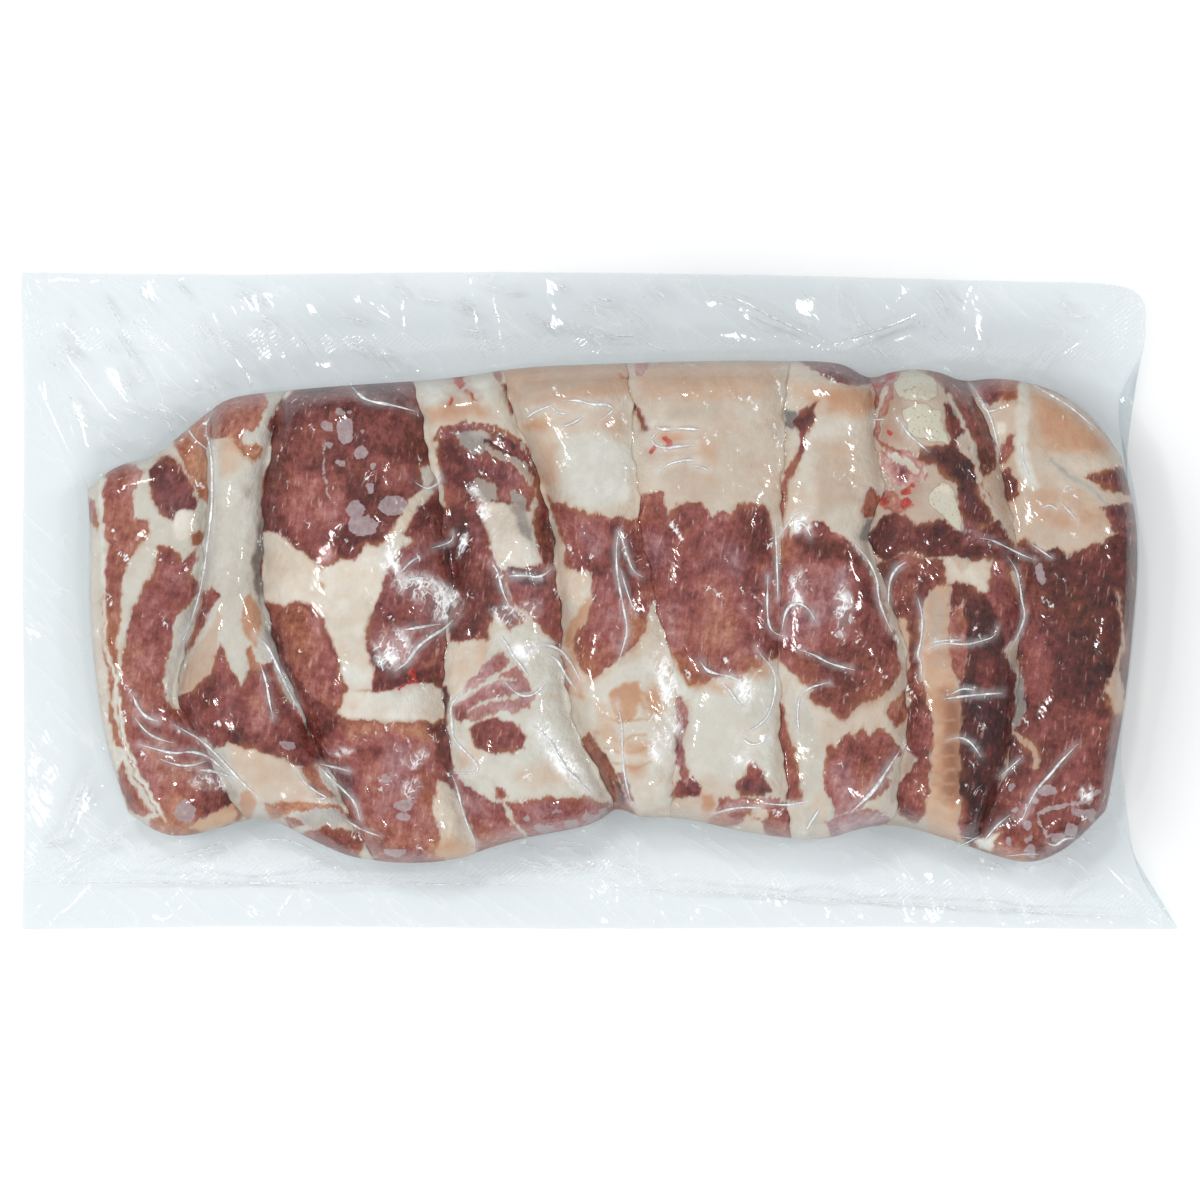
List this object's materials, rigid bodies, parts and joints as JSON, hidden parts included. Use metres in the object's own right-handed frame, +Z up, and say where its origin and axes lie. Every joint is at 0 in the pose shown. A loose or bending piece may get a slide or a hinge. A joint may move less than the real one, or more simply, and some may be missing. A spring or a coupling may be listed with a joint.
{
  "type": "vacuum pack of frozen pork ribs",
  "caption": "Flat clear vacuum bag with frozen pork rib chops pressed side by side, lying on its back in a thin sealed and wrinkled border.",
  "frame": {"origin": "on the surface that the pack lies on, under the middle of the bag's box", "axes": "+X along the pack, from the narrow end to the end where the film is drawn in; +Y to the side with the wide seal; +Z up"},
  "size_m": [0.3946, 0.2254, 0.0438],
  "materials": {
    "meat_in_film": "frozen pork, lean and fat, under clear clinging film with fine glossy pleats",
    "lean_meat": "moist frozen lean pork with thin frost",
    "bone": "sawn rib bone, porous and cream",
    "clear_film": "thin clear bag film, glossy and creased"
  },
  "bodies": {
    "root": {"sealed_pack": "meat_in_film"}
  },
  "joints": []
}
